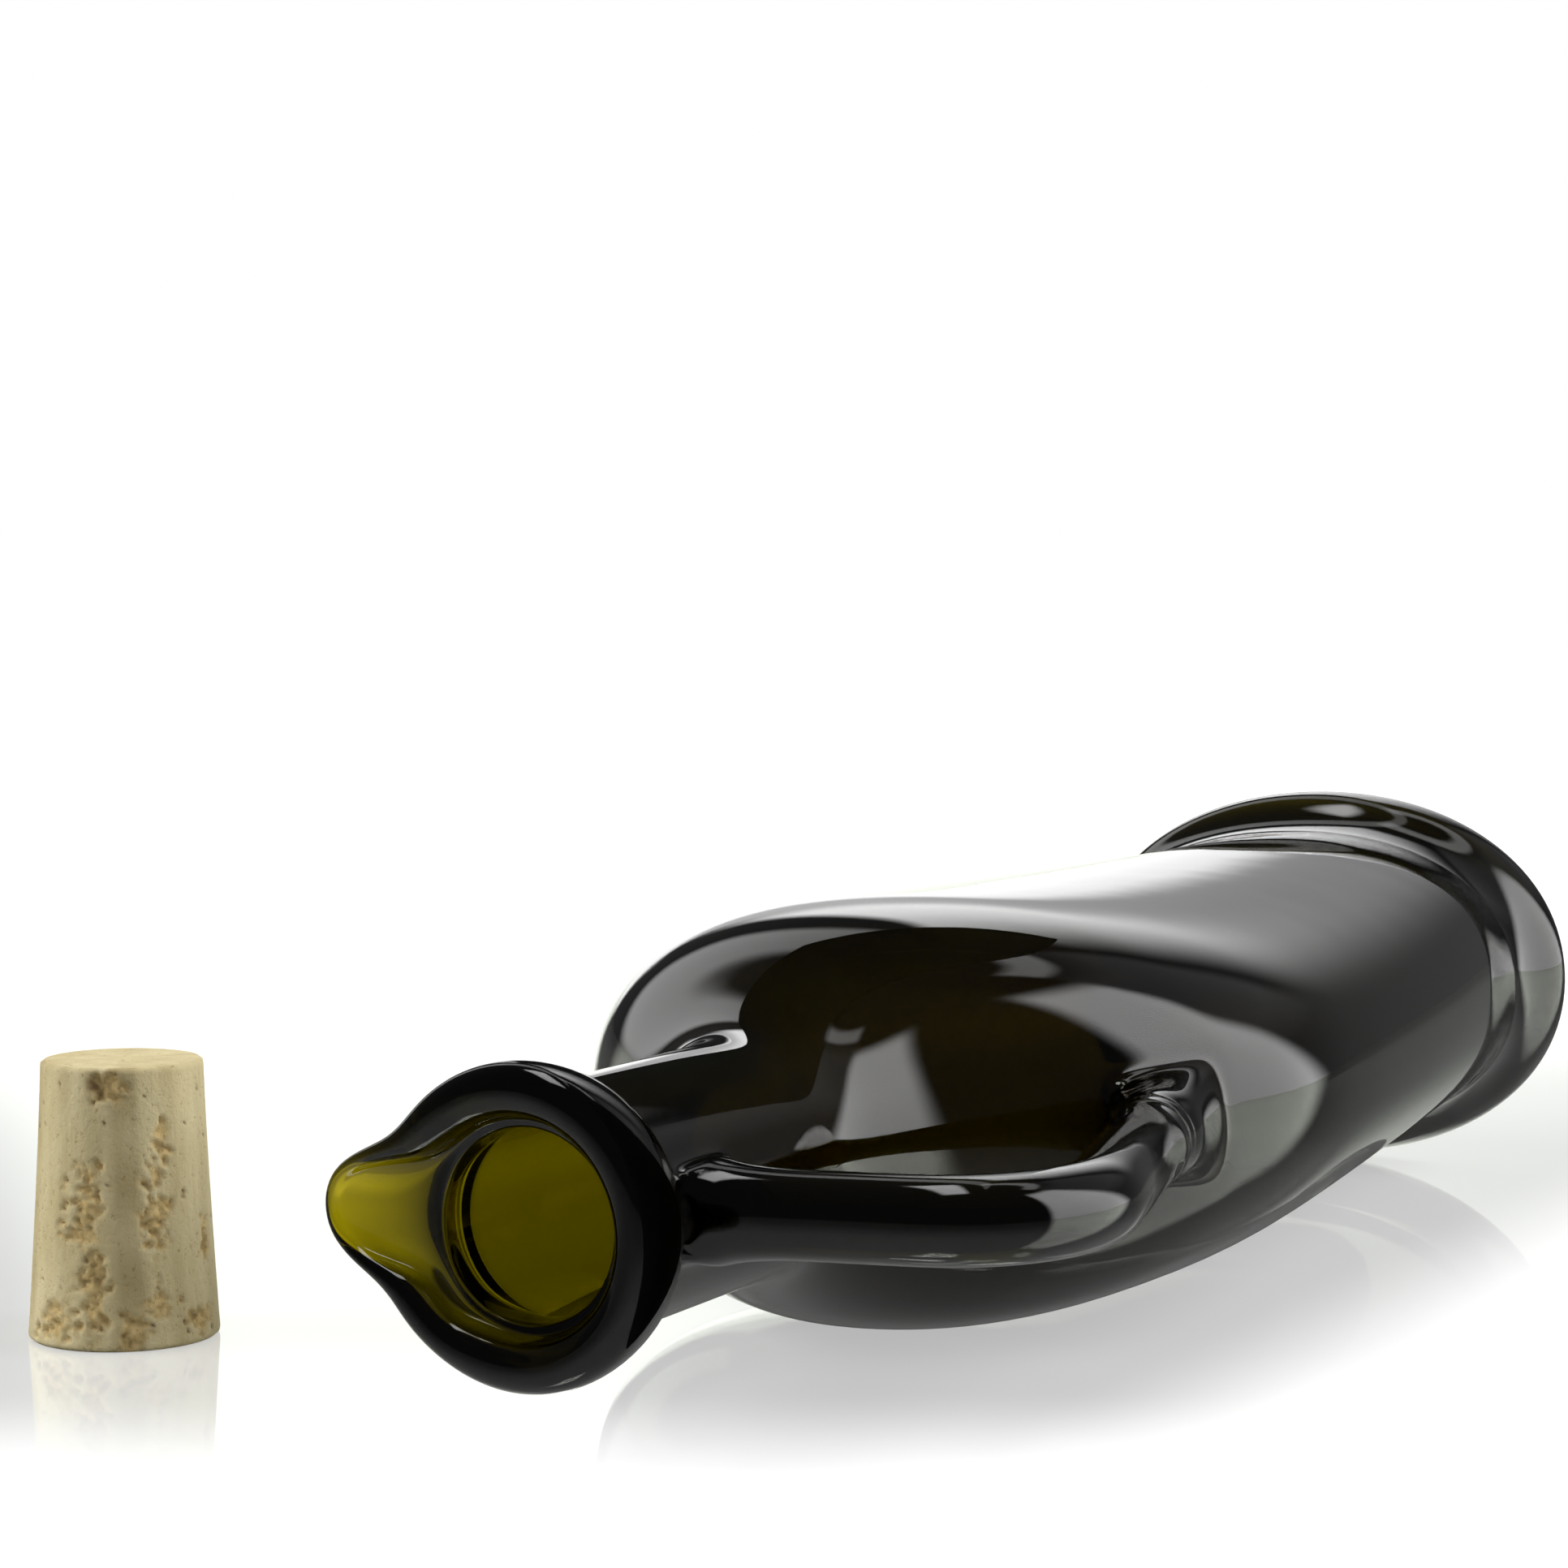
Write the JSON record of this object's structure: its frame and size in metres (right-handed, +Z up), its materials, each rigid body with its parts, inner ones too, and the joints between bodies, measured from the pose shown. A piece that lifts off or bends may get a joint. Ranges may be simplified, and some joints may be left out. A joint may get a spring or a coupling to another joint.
{
  "type": "oval glass bottle",
  "caption": "Dark green oval glass oil bottle with a pouring lip and a loop handle, open and empty, lying on its side beside its tapered cork.",
  "frame": {"origin": "middle of the footprint on the floor, under the centre of the box around bottle and cork", "axes": "+X along the bottle from its mouth to its foot, +Z up, -Y towards the side with the handle"},
  "size_m": [0.215, 0.131, 0.0511],
  "materials": {
    "green_glass": "clear dark olive green, glossy",
    "cork": "natural cork, matt"
  },
  "bodies": {
    "root": {"bottle": "green_glass", "cork": "cork"}
  },
  "joints": []
}
